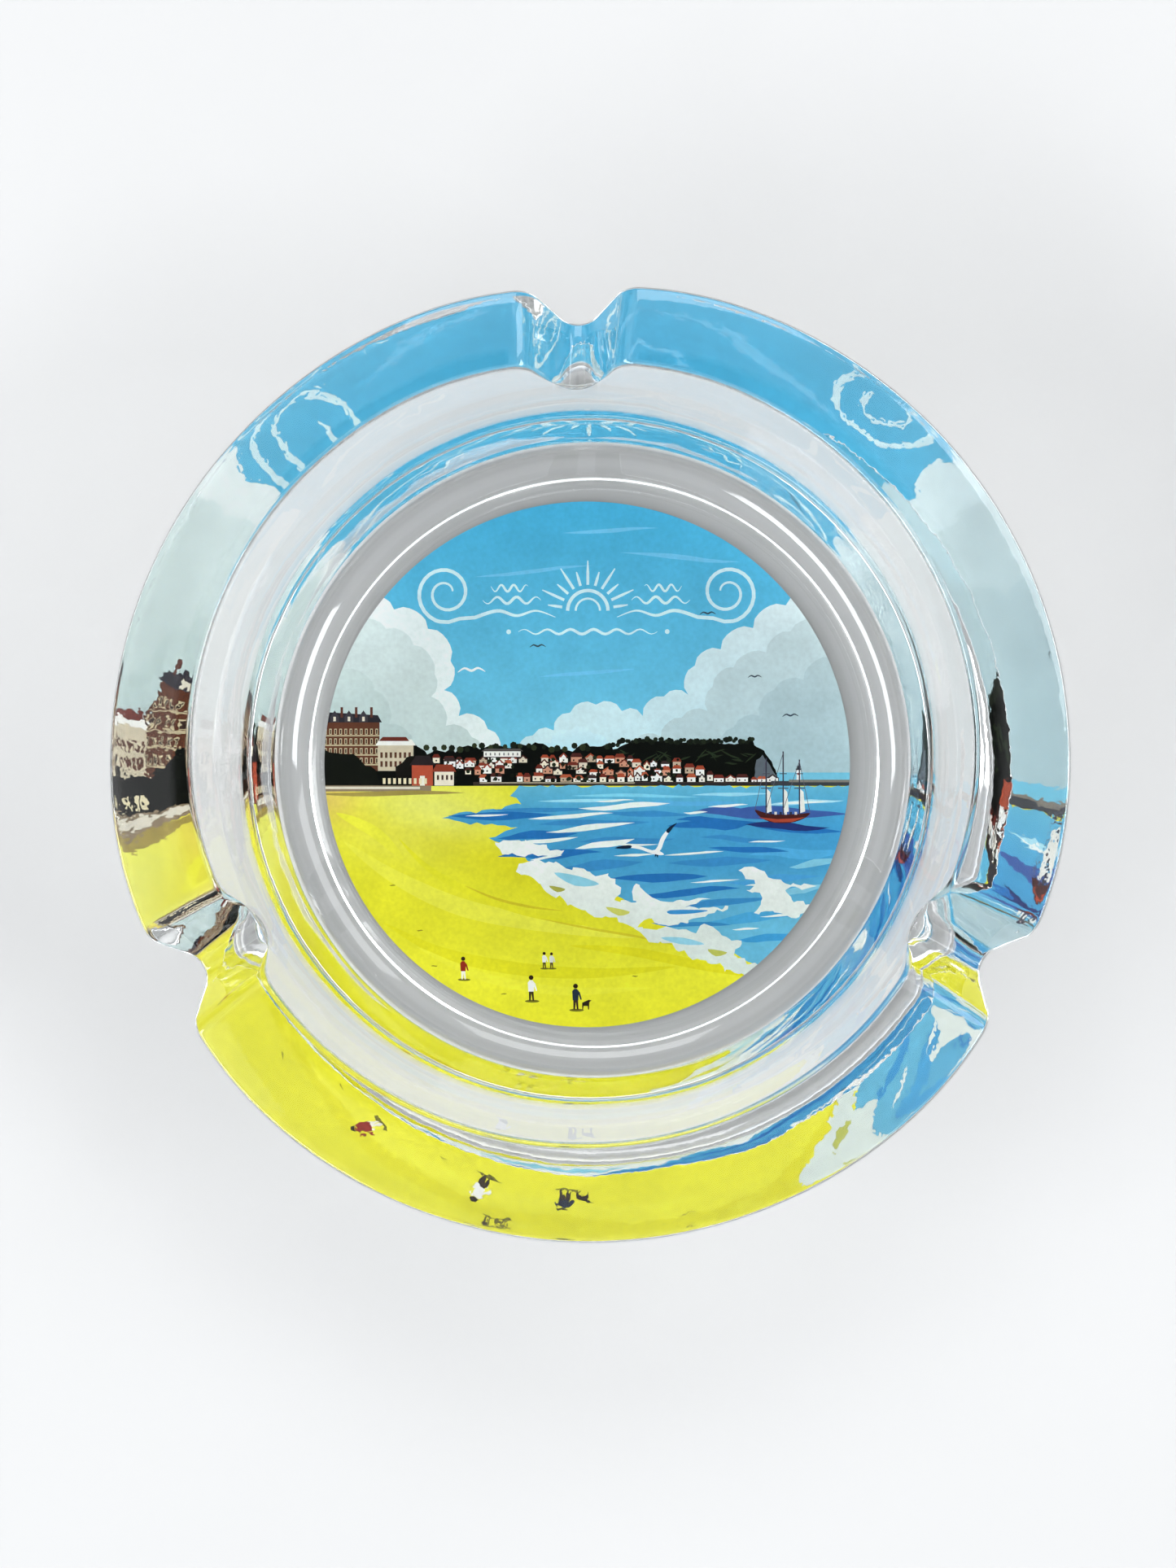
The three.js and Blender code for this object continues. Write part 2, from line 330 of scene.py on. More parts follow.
def paint(points, colour, rough=0.0, step=0.0, seed=0.0):
    """Adds a shape. rough moves its outline by up to that many units, after edges longer than step are split."""
    pts = list(points)
    if step:
        split = []
        for i, p in enumerate(pts):
            q = pts[(i + 1) % len(pts)]
            n = max(1, int(math.dist(p, q) / step))
            split += [(p[0] + (q[0] - p[0]) * k / n, p[1] + (q[1] - p[1]) * k / n) for k in range(n)]
        pts = split
    if rough:
        pts = [
            (
                p[0] + rough * noise.noise(Vector((p[0] * 0.11, p[1] * 0.11, 1.7 + seed))),
                p[1] + rough * noise.noise(Vector((p[0] * 0.11, p[1] * 0.11, 9.3 + seed))),
            )
            for p in pts
        ]
    area = sum(p[0] * q[1] - q[0] * p[1] for p, q in zip(pts, pts[1:] + pts[:1]))
    if area < 0:
        pts.reverse()
    shapes.append((pts, fill(colour)))


def curve(points, per=6, closed=False):
    """Points along a smooth curve through the given ones."""
    n = len(points)
    out = []
    last = n if closed else n - 1
    for i in range(last):
        p1, p2 = points[i], points[(i + 1) % n]
        p0 = points[(i - 1) % n] if closed or i > 0 else p1
        p3 = points[(i + 2) % n] if closed or i + 2 < n else p2
        for k in range(per):
            t = k / per
            out.append(
                tuple(
                    0.5 * (2 * b + (c - a) * t + (2 * a - 5 * b + 4 * c - d) * t * t + (3 * b - a - 3 * c + d) * t**3)
                    for a, b, c, d in zip(p0, p1, p2, p3)
                )
            )
    if not closed:
        out.append(points[-1])
    return out


def stroke(points, width, colour, ends=(1.0, 1.0)):
    """A line of that width along the points. ends scales the width at its two ends, so it can taper."""
    left, right = [], []
    n = len(points)
    for i, p in enumerate(points):
        a, b = points[max(0, i - 1)], points[min(n - 1, i + 1)]
        dx, dy = b[0] - a[0], b[1] - a[1]
        l = math.hypot(dx, dy) or 1.0
        t = i / (n - 1)
        s = 4 * t * (1 - t)
        w = width / 2 * ((ends[0] * (1 - t) + ends[1] * t) * (1 - s) + s)
        w = max(w, 0.12)
        left.append((p[0] - dy / l * w, p[1] + dx / l * w))
        right.append((p[0] + dy / l * w, p[1] - dx / l * w))
    paint(left + right[::-1], colour)


def lens(u0, v0, u1, v1, width, colour, seed=0.0):
    """A brush stroke with two pointed ends."""
    n = 7
    up, down = [], []
    for i in range(n + 1):
        t = i / n
        w = width / 2 * math.sin(math.pi * t) ** 0.8 * (1 + 0.5 * noise.noise(Vector((t * 3, seed, 4.0))))
        w2 = width / 2 * math.sin(math.pi * t) ** 0.8 * (1 + 0.5 * noise.noise(Vector((t * 3, seed, 14.0))))
        sway = width * 0.5 * noise.noise(Vector((t * 2, seed, 24.0)))
        u, v = u0 + (u1 - u0) * t, v0 + (v1 - v0) * t + sway
        up.append((u, v + max(w, 0.0)))
        if 0 < i < n:
            down.append((u, v - max(w2, 0.1)))
    paint(up + down[::-1], colour)


def disc(u, v, r, colour, n=10, squash=1.0):
    paint([(u + r * math.cos(2 * math.pi * k / n), v + r * squash * math.sin(2 * math.pi * k / n)) for k in range(n)], colour)


def box(u0, v0, u1, v1, colour):
    paint([(u0, v0), (u1, v0), (u1, v1), (u0, v1)], colour)


def puffs(points, depth, colour):
    """A cloud: its outline bulges outwards between the given points, which go anticlockwise."""
    out = []
    n = len(points)
    for i, p in enumerate(points):
        q = points[(i + 1) % n]
        dx, dy = q[0] - p[0], q[1] - p[1]
        l = math.hypot(dx, dy)
        d = 0.0 if len(p) > 2 else depth * l
        steps = max(2, int(l / 7)) if d else 1
        for k in range(steps):
            t = k / steps
            b = d * (4 * t * (1 - t)) ** 0.6
            out.append((p[0] + dx * t + dy / l * b, p[1] + dy * t - dx / l * b))
    paint(out, colour)


ring = [(PIC * math.cos(2 * math.pi * k / 256), PIC * math.sin(2 * math.pi * k / 256)) for k in range(256)]
# Shape 0 is the whole disc: its sky.
SKY_TOP, SKY_LOW = linear("49ADD4"), linear("74C0D8")
paint(ring, lambda u, v: mix(SKY_LOW, SKY_TOP, ((v + 20) / 330) ** 0.8 if v > -20 else 0.0))

# Clouds: a pale bank on the left, a larger one on the right, and low puffs between them.
puffs([(-345, -10, 0), (-108, -10, 0), (-108, 16), (-122, 44), (-158, 60), (-176, 92), (-168, 128), (-196, 168), (-238, 192), (-286, 204), (-345, 214, 0)], 0.24, "E2ECEA")
puffs([(-345, -10, 0), (-124, -10, 0), (-128, 14), (-142, 34), (-174, 48), (-192, 84), (-188, 112), (-214, 148), (-248, 168), (-292, 176), (-345, 180, 0)], 0.2, ("D3E1DF", 180, "BECFCC", 0))
puffs([(-345, -10, 0), (-196, -10, 0), (-214, 26), (-244, 50), (-262, 92), (-300, 118), (-345, 130, 0)], 0.2, ("C4D4D1", 120, "B3C6C4", 0))
puffs([(345, 210, 0), (300, 204), (246, 196), (206, 168), (166, 142), (134, 122), (126, 86), (96, 84), (70, 60), (44, 66), (12, 74), (-20, 64), (-40, 42), (-66, 36), (-84, 14), (-80, -10, 0), (345, -10, 0)][::-1], -0.24, ("D5E5E6", 200, "BFDDE3", 0))
puffs([(345, 186, 0), (296, 176), (252, 164), (222, 138), (182, 120), (156, 96), (150, 66), (118, 58), (92, 34), (60, 30), (40, 8), (44, -10, 0), (345, -10, 0)][::-1], -0.2, ("C3D5D6", 180, "B5CCCF", 0))
puffs([(345, 150, 0), (300, 132), (268, 104), (232, 92), (214, 60), (182, 46), (164, 14), (166, -10, 0), (345, -10, 0)][::-1], -0.2, ("B4C8CA", 140, "A9C3C8", 0))
puffs([(-70, -10, 0), (30, -10, 0), (28, 18), (8, 38), (-20, 42), (-44, 26), (-66, 12)], 0.26, ("C9E4EA", 45, "A7D5E3", 0))
for u0, v0, u1, v1, w in ((-140, 232, 10, 246, 5), (40, 262, 190, 250, 6), (-60, 108, 60, 118, 5), (-30, 286, 90, 292, 5)):
    lens(u0, v0, u1, v1, w, "6FBFE2", seed=u0)

# The land behind the bay: a pale far shore, then dark trees and a wooded hill.
TREE = "0B0E0A"
paint([(-345, -34)] + [(-345, 20), (-318, 26), (-296, 34), (-270, 24), (-246, 30), (-226, 18), (-214, 26), (-196, 12), (-176, 16), (-160, 20), (-120, 22), (-60, 24), (-22, 18), (-6, 24), (14, 20), (26, 24), (34, 14)] + [(40, -34)], TREE, rough=7, step=5, seed=2)
hill = [(22, -30), (24, 6), (34, 18), (50, 26), (80, 31), (110, 28), (150, 29), (176, 26), (205, 27), (222, 12), (231, -4), (238, -18), (240, -30)]
paint(hill, TREE, rough=4, step=4, seed=5)
rng = random.Random(11)
for k in range(46):
    u = 26 + k * 4.0 + rng.uniform(-1.4, 1.4)
    top = 20 + 9 * math.sin(min(1.0, (u - 22) / 40) * math.pi / 2) + rng.uniform(-2.0, 2.6)
    disc(u, top if u < 206 else top - (u - 206) * 0.9, rng.uniform(2.4, 4.0), "151A12" if k % 3 else "20271A", n=7)
for k in range(26):
    u = 36 + rng.uniform(0, 160)
    lens(u, rng.uniform(0, 20), u + rng.uniform(8, 20), rng.uniform(0, 20), rng.uniform(1.5, 3.0), "26301F", seed=k)
paint([(206, -26), (210, 6), (218, 12), (228, -2), (236, -16), (238, -26)], "5C646B", rough=2, step=5, seed=6)
for k in range(22):
    u = -196 + k * 9.5 + rng.uniform(-2, 2)
    disc(u, 20 + rng.uniform(-2.0, 4.0), rng.uniform(2.6, 4.6), "1A2016" if k % 2 else "2C3320", n=7)

WALLS = ["F0EDE6", "E7E2D6", "F4F2EC", "D9CDB8", "E9DFC9", "C98F74", "E6E4DF", "B9A48C"]
ROOFS = ["8C3A28", "A3472F", "6B2A21", "7C3326", "4A2420", "B0563A", "3A2B2A"]


def house(u, base, w, h, wall, roof, gable=False, rows=1):
    """A small house: wall, roof, dark windows and a shaded side."""
    box(u - 0.9, base - 1.2, u + w + 0.9, base + h + 0.6, "1B1614")
    box(u, base, u + w, base + h, wall)
    r = h * 0.42 + 1.6
    if gable:
        paint([(u - 1.2, base + h - 0.3), (u + w + 1.2, base + h - 0.3), (u + w * 0.5, base + h + r * 1.3)], roof)
        paint([(u + w * 0.2, base + h - 0.2), (u + w * 0.8, base + h - 0.2), (u + w * 0.5, base + h + r * 0.8)], wall)
    else:
        paint([(u - 1.4, base + h - 0.3), (u + w + 1.4, base + h - 0.3), (u + w - 1.6, base + h + r), (u + 1.6, base + h + r)], roof)
    n = max(1, int(w / 5.5))
    for j in range(rows):
        y = base + h * (0.3 + 0.42 * j)
        for i in range(n):
            x = u + w * (i + 0.5) / n
            box(x - 0.95, y, x + 0.95, y + min(3.2, h * 0.3), "2A2422")


# Rows of small houses climb from the harbour, with dark trees between them.
for base, lo, hi, lift in ((1.0, -190, 60, 3), (-5.5, -176, 112, 3), (-13.0, -150, 140, 2.5), (-21.5, -132, 226, 1.5)):
    u = lo
    while u < hi:
        w = rng.uniform(6, 14)
        h = rng.uniform(4.2, 7.6)
        if u > 150 and base < -15:
            h *= 0.8
        if rng.random() < 0.84:
            house(u, base + rng.uniform(-1.5, lift), w, h, rng.choice(WALLS), rng.choice(ROOFS), rng.random() < 0.4)
        u += w + rng.uniform(0.6, 5.5)
for k in range(70):
    u = rng.uniform(-180, 120)
    disc(u, rng.uniform(-22, 9), rng.uniform(1.4, 3.2), "14170F" if k % 2 else "22281A", n=7)
# A long pale hall on the slope.
box(-129, 8.5, -79, 9.5, "3B302C")
box(-127, 9.5, -81, 16.5, "E9E7E1")
paint([(-130, 16.2), (-78, 16.2), (-82, 19.6), (-125, 19.6)], "54504E")
for k in range(8):
    box(-125 + k * 5.6, 11.2, -123.4 + k * 5.6, 14.4, "6C6B6A")

# A seafront terrace on the far left, with a lower wing stepping down to the sands.
box(-345, -8, -256, 52, "5C3829")
for j, y in enumerate((1.0, 13.0, 25.0, 37.0)):
    box(-345, y - 2.2, -256, y - 0.6, "BDAF8E")
    for k in range(13):
        x = -338 + k * 6.4
        box(x, y, x + 3.2, y + 7.2, "C6B896")
        box(x + 0.8, y + 0.8, x + 2.5, y + 6.2, "3A2A25")
paint([(-345, 52), (-253, 52), (-258, 61), (-345, 66)], "2C2B31")
for x in (-330, -312, -294, -276):
    paint([(x - 5.5, 52), (x + 5.5, 52), (x + 5.5, 59), (x, 67), (x - 5.5, 59)], "3D3A40")
    box(x - 1.6, 53.5, x + 1.6, 59, "D9D2BF")
for x in (-321, -303, -285, -266):
    box(x - 1.6, 58, x + 1.6, 71, "5A352B")
box(-258, -8, -214, 24, "CCC0A6")
for y in (-3.0, 8.0):
    for k in range(7):
        box(-255 + k * 5.8, y, -252 + k * 5.8, y + 7.0, "5B3A2D")
paint([(-261, 23.6), (-211, 23.6), (-216, 31), (-256, 31)], "EDEBE4")
paint([(-257, 29), (-219, 29), (-223, 34), (-252, 34)], "6A2E24")
paint([(-345, -26), (-345, 12), (-322, 18), (-300, 10), (-286, 12), (-272, -2), (-262, -8), (-254, -26)], "12140F", rough=6, step=5, seed=8)
paint([(-236, -26), (-236, -4), (-224, 8), (-214, 12), (-202, 2), (-194, -6), (-194, -26)], "171511", rough=3, step=4, seed=9)
box(-216, -26, -190, 0, "B24F38")
paint([(-219, -1), (-187, -1), (-194, 11), (-211, 11)], "2A2325")
box(-206, -26, -200, -14, "EDE7D8")
box(-188, -26, -164, -8, "E9DFCB")
paint([(-191, -9), (-161, -9), (-166, 0), (-186, 0)], "8A3B2A")
for k in range(4):
    box(-185 + k * 5.6, -19, -182.4 + k * 5.6, -13, "4A3229")
for k in range(9):
    box(-252 + k * 6.4, -24, -248.6 + k * 6.4, -17, "E3D7B2")

# Water line, quay and sea wall.
box(-140, -26.5, 236, -21.6, "3A302B")
box(-132, -23.4, 60, -22.2, "B7AA94")
box(60, -25.0, 236, -23.6, "20232A")
box(228, -27.0, 345, -20.5, "3D4045")
box(250, -22.0, 345, -18.8, "7E7A70")
box(259.5, -19, 264.5, -6, "F1F0EA")
box(258.5, -7, 265.5, -5, "2A2C30")
disc(262, -3.6, 2.4, "2A2C30", n=8)
box(260.6, -13, 263.4, -10.5, "A33A2C")

# The sea, down to the right-hand rim.
SEA_FAR, SEA_MID, SEA_NEAR = linear("62B4D2"), linear("4498C6"), linear("66B4D2")
sea_colour = lambda u, v: mix(mix(SEA_MID, SEA_FAR, (v + 70) / 44), SEA_NEAR, (-120 - v) / 70 * (0.35 + 0.65 * (u + 60) / 320))
# Sand first, over everything under the horizon.
SAND, SAND_PAINTED_GLARE, SAND_DEEP = linear("DFDB30"), linear("E7E770"), linear("D6CD1A")


# The broad paler patch on the sand at the left middle is a painted glare, not a colour of the print.
def sand_colour(u, v):
    c = mix(SAND, SAND_PAINTED_GLARE, 1.1 * math.exp(-(((u + 205) / 90) ** 2) - ((v + 62) / 42) ** 2))
    c = mix(c, SAND_DEEP, 0.55 * math.exp(-(((v + 150 + 0.30 * u) / 26) ** 2)))
    c = mix(c, linear("DDBF6A"), 0.75 * math.exp(-(((u + 318) / 34) ** 2) - ((v + 40) / 30) ** 2))
    return mix(c, linear("EDEA3C"), 0.6 * math.exp(-(((v + 262) / 40) ** 2)))


paint([(-345, -26.5), (-345, -345), (345, -345), (345, -26.5)], sand_colour)
box(-345, -33.5, -192, -26, "8B7A62")
box(-345, -30.5, -206, -27.5, "D9D2C0")
lens(-345, -36, -150, -35, 6, "A08E4A", seed=3)
for pts, c, w in (
    ([(-300, -96), (-236, -140), (-150, -178), (-40, -200), (60, -214)], "E4E148", 22),
    ([(-232, -92), (-196, -128), (-140, -160), (-66, -186), (10, -200)], "DEDA2C", 9),
    ([(-150, -150), (-112, -166), (-70, -176), (-30, -181)], "CDBF28", 3.4),
    ([(-252, -196), (-180, -232), (-90, -252), (10, -258), (110, -250)], "DFDA26", 16),
    ([(-210, -226), (-130, -262), (-30, -280), (80, -276)], "E9E63E", 12),
    ([(-310, -60), (-262, -84), (-226, -118)], "E2DF40", 14),
    ([(-60, -190), (0, -202), (70, -214), (130, -228)], "D2C62C", 3.0),
    ([(-20, -224), (60, -232), (150, -250), (214, -262)], "E0DA24", 12),
):
    stroke(curve(pts, per=7), w, c, ends=(0.05, 0.05))

shore = [(-84, -27), (-93, -38), (-78, -47), (-108, -55), (-150, -60), (-178, -66), (-150, -73), (-118, -74), (-84, -77), (-104, -84), (-120, -92), (-98, -100), (-70, -104), (-84, -112), (-58, -124), (-34, -142), (6, -152), (44, -166), (78, -184), (104, -204), (146, -216), (184, -234), (214, -250), (262, -262)]
paint(shore + [(345, -262), (345, -27)], sea_colour, rough=4, step=7, seed=12)
# Brush strokes in the water: deep ones far out and at the right, pale ones near the sands.
DEEP, MID, PALE, VIOLET = "276DB0", "3A86BE", "80C4DA", "3E5C9E"
for u0, v0, u1, v1, w, c in (
    (-172, -66, -40, -63, 9, DEEP), (-120, -58, 10, -56, 6, MID), (-110, -90, -10, -84, 9, DEEP), (-60, -74, 80, -70, 8, MID),
    (-110, -113, 20, -108, 12, DEEP), (-10, -96, 110, -92, 9, MID), (20, -58, 130, -62, 7, MID), (-40, -128, 70, -122, 12, MID),
    (60, -50, 190, -46, 6, "58A9D6"), (-20, -38, 140, -40, 5, "7CC9E2"), (100, -76, 200, -74, 10, DEEP), (128, -60, 250, -64, 12, VIOLET),
    (110, -68, 214, -70, 8, DEEP), (180, -56, 325, -60, 11, VIOLET), (204, -76, 318, -84, 8, DEEP), (140, -90, 240, -94, 7, MID),
    (30, -140, 150, -138, 11, DEEP), (100, -122, 230, -118, 10, MID), (60, -162, 190, -154, 9, DEEP), (170, -146, 290, -138, 10, "4A9CD0"),
    (200, -112, 318, -106, 13, "4FA6D4"), (150, -104, 250, -108, 7, DEEP), (90, -176, 230, -166, 8, MID), (150, -196, 262, -186, 12, "4BA3D2"),
    (186, -216, 270, -208, 10, "3F97CC"), (80, -196, 180, -200, 6, MID), (230, -160, 300, -150, 9, PALE), (250, -126, 322, -120, 9, PALE),
    (220, -50, 318, -44, 5, "A9DCEA"), (-60, -46, 60, -44, 4, "9AD7EA"), (130, -38, 230, -36, 4, "98D4E8"),
):
    lens(u0, v0, u1, v1, w, c, seed=u0 * 0.37 + v0)
# Crests: long white wave backs.
for u0, v0, u1, v1, w in (
    (-10, -54, 104, -48, 7), (-72, -68, 34, -60, 5), (-50, -84, 60, -72, 7), (-150, -64, -96, -62, 2.6), (10, -46, 60, -44, 2.4),
    (-92, -98, -10, -90, 5), (-14, -104, 60, -92, 8), (16, -100, 90, -99, 2.6), (-70, -118, -30, -112, 3), (150, -52, 200, -50, 3),
    (34, -113, 86, -111, 3), (96, -112, 170, -107, 3), (236, -48, 300, -46, 3), (120, -60, 150, -58, 3.4), (200, -96, 246, -94, 2.4),
    (214, -188, 268, -184, 3), (196, -150, 226, -147, 2.6), (128, -146, 190, -142, 2.6), (180, -204, 214, -202, 3),
):
    lens(u0, v0, u1, v1, w, "E4EDE6", seed=u0 * 0.21 + v1)
# Broken surf along the sands.
FOAM = ("E9EEE8", -120, "D5E0D8", -250)
for pts in (
    [(-76, -122), (-52, -118), (-30, -126), (0, -130), (28, -138), (44, -152), (34, -166), (66, -172), (90, -190), (60, -196), (26, -190), (-4, -184), (-26, -168), (-52, -156), (-60, -142), (-86, -132)],
    [(54, -156), (66, -150), (78, -164), (104, -170), (150, -166), (124, -175), (178, -176), (146, -188), (112, -196), (84, -192), (66, -176)],
    [(62, -202), (94, -204), (128, -206), (150, -200), (170, -212), (192, -220), (182, -236), (212, -248), (252, -252), (232, -272), (196, -262), (160, -248), (126, -236), (96, -220), (70, -214)],
    [(186, -134), (210, -130), (226, -138), (246, -146), (282, -150), (246, -156), (262, -168), (290, -176), (262, -190), (232, -184), (206, -180), (220, -166), (200, -156), (206, -144)],
    [(-112, -98), (-84, -94), (-54, -100), (-24, -110), (-60, -112), (-84, -112), (-104, -106)],
):
    paint(curve(pts, per=3, closed=True), FOAM, rough=7, step=4, seed=pts[0][0])
for pts, c in (
    ([(-40, -134), (-10, -138), (16, -148), (-14, -150)], "8CCBDD"), ([(92, -214), (120, -214), (146, -222), (116, -222)], "93CFE0"),
    ([(104, -180), (150, -180), (132, -184), (104, -185)], "3C8FCB"), ([(150, -228), (174, -232), (160, -237)], "B9BE5A"), ([(-46, -150), (-26, -154), (-36, -158)], "A9A94A"),
    ([(24, -176), (54, -182), (40, -187)], "C9CB63"),
):
    paint(curve(pts, per=3, closed=True), c)

# A three-masted trading boat lies off the sea wall.
lens(196, -74, 300, -78, 9, "24356F", seed=4)
paint(curve([(208, -56), (216, -66), (232, -72), (252, -72), (268, -67), (276, -60), (262, -61), (240, -62), (222, -60)], per=3, closed=True), "47211F")
paint([(212, -65), (232, -71.5), (254, -71), (270, -65), (258, -66.5), (236, -67.5)], "A84631")
for x, top in ((222, 8), (243, 16), (263, 6)):
    box(x - 0.8, -62, x + 0.8, top, "3B3A46")
    box(x - 6.5, -30, x + 6.5, -28.8, "4B4852")
    box(x - 4.5, -12, x + 4.5, -11, "4B4852")
    paint([(x + 1, -60), (x + 7, -58), (x + 5, -34), (x + 1, -30)], "E6E5DC")
for a, b in (((208, -57), (222, 6)), ((243, 14), (222, -56)), ((263, 4), (243, -56)), ((276, -60), (263, 4))):
    stroke([a, ((a[0] + b[0]) / 2, (a[1] + b[1]) / 2), b], 0.7, "5B5A66")
for k in range(6):
    box(226 + k * 6.2, -62, 229 + k * 6.2, -58.5, "D9D6CC" if k % 2 else "2D3142")

# A gull over the waves and four more in the sky.
def gull(u, v, s, light, dark, tilt=0.0):
    c, d = math.cos(tilt), math.sin(tilt)
    m = lambda pts: [(u + s * (x * c - y * d), v + s * (x * d + y * c)) for x, y in pts]
    paint(m(curve([(0, 1.5), (-9, 4), (-20, 8), (-33, 9), (-44, 7), (-33, 5.6), (-20, 3.4), (-9, -0.6), (0, -3.4)], per=3)), light)
    paint(m(curve([(0, 1.5), (5, 8), (9, 19), (17, 30), (27, 36), (20, 26), (14, 15), (10, 4), (3, -3.4)], per=3)), light)
    paint(m(curve([(-33, 9.2), (-44, 9), (-57, 5.4), (-45, 4.2), (-34, 5.2)], per=2, closed=True)), dark)
    paint(m(curve([(17, 30), (22, 36), (33, 42), (27, 35), (21, 27)], per=2, closed=True)), dark)
    paint(m(curve([(-5, 1), (2, 3), (10, 0), (14, -4), (6, -4.6), (-2, -3)], per=3, closed=True)), light)
    paint(m([(1, -3.2), (6, -4.4), (5, -9), (3, -5), (1, -8)]), dark)


gull(84, -108, 0.86, "F1F3EC", "15243A")
for u, v, s in ((-142, 116, 0.34), (-60, 146, 0.2), (208, 108, 0.17), (252, 60, 0.2), (150, 186, 0.2)):
    stroke(curve([(u - 50 * s, v - 6 * s), (u - 26 * s, v + 9 * s), (u, v), (u + 24 * s, v + 10 * s), (u + 50 * s, v - 3 * s)], per=4), 6.5 * s + 0.8, "F0F4F2" if s > 0.3 else "3B4652", ends=(0.2, 0.2))


# Strollers on the sands: small plain figures with a shadow each.
def stroller(u, v, s, top, legs, dog=False):
    disc(u + 1 * s, v - 0.6 * s, 8 * s, "6F6A22", n=12, squash=0.2)
    paint([(u - 2.4 * s, v), (u - 0.6 * s, v), (u + 0.4 * s, v + 11 * s), (u - 2.6 * s, v + 11 * s)], legs)
    paint([(u + 1.4 * s, v), (u + 3.2 * s, v), (u + 2.4 * s, v + 11 * s), (u - 0.4 * s, v + 11 * s)], legs)
    paint([(u - 3.2 * s, v + 10 * s), (u + 2.8 * s, v + 10 * s), (u + 3.4 * s, v + 20 * s), (u + 1.2 * s, v + 22.5 * s), (u - 1.6 * s, v + 22.5 * s), (u - 3.8 * s, v + 20 * s)], top)
    paint([(u + 2.6 * s, v + 20 * s), (u + 4.4 * s, v + 19 * s), (u + 6.6 * s, v + 11 * s), (u + 5.2 * s, v + 10.6 * s), (u + 3.2 * s, v + 16 * s)], top)
    disc(u - 0.2 * s, v + 25.4 * s, 2.7 * s, "2A1D14", n=9)
    if dog:
        paint([(u + 7 * s, v), (u + 8 * s, v), (u + 8.6 * s, v + 4 * s), (u + 13 * s, v + 4 * s), (u + 13.4 * s, v), (u + 14.4 * s, v), (u + 14.8 * s, v + 8 * s), (u + 17 * s, v + 10 * s), (u + 14 * s, v + 10.6 * s), (u + 7 * s, v + 7.4 * s)], "2B2117")


stroller(-152, -266, 1.0, "8E2A1E", "E8E4D6")
stroller(-52, -252, 0.72, "E8E9E2", "463A22")
stroller(-43, -252, 0.7, "DADCD2", "5A4A2A")
stroller(-68, -292, 1.12, "F0EFE8", "33291A")
stroller(-13, -303, 1.14, "26303F", "3A2E20", dog=True)
for u, v in ((-206, -206), (-188, -250), (-102, -284), (60, -262), (-240, -150)):
    lens(u - 4, v, u + 4, v + 0.5, 1.6, "8D8420", seed=u)

# The ornament: a rising sun between two curling waves, in pale lines.
WHITE = "CBE6EC"
sun = (2, 190)
stroke([(sun[0] + 25 * math.cos(math.pi * k / 18), sun[1] + 25 * math.sin(math.pi * k / 18)) for k in range(19)], 4.2, WHITE)
stroke([(sun[0] + 15 * math.cos(math.pi * k / 14), sun[1] + 15 * math.sin(math.pi * k / 14)) for k in range(15)], 2.6, WHITE)
for k in range(11):
    a = math.pi * (k + 0.5) / 11
    far = 62 if k % 2 == 1 else 50
    stroke([(sun[0] + r * math.cos(a), sun[1] + r * math.sin(a)) for r in (32, (32 + far) / 2, far)], 3.4, WHITE, ends=(1.0, 0.4))
for side in (-1, 1):
    # A breaking wave: a curl of one and a half turns that runs out into a low swell.
    curl = [(side * (174 + (36 - 27 * t) * math.sin(3.3 * math.pi * t + 0.35)), 212 - (36 - 27 * t) * math.cos(3.3 * math.pi * t + 0.35)) for t in [i / 40 for i in range(41)]]
    swell = [(side * u, v) for u, v in curve([(38, 182), (62, 190), (86, 184), (110, 190), (140, 181)], per=8)]
    stroke(swell[:-1] + [(side * (174 + 36 * math.sin(a)), 212 - 36 * math.cos(a)) for a in (-0.5, -0.1, 0.2)] + curl, 4.6, WHITE, ends=(0.15, 0.5))
    for j, (start, end) in enumerate(((56, 128), (72, 118))):
        line = [(side * (start + (end - start) * i / 30), 203 + 15 * j + 4.2 * math.sin(2 * math.pi * i / 10 + 0.6 * j)) for i in range(31)]
        stroke(line, 3.6 - 0.6 * j, WHITE, ends=(0.15, 0.15))
stroke([(-84 + 172 * i / 48, 164 + 3.0 * math.sin(2 * math.pi * i / 8)) for i in range(49)], 3.6, WHITE, ends=(0.15, 0.15))
disc(-96, 164, 3.0, WHITE, n=10)
disc(100, 164, 3.0, WHITE, n=10)


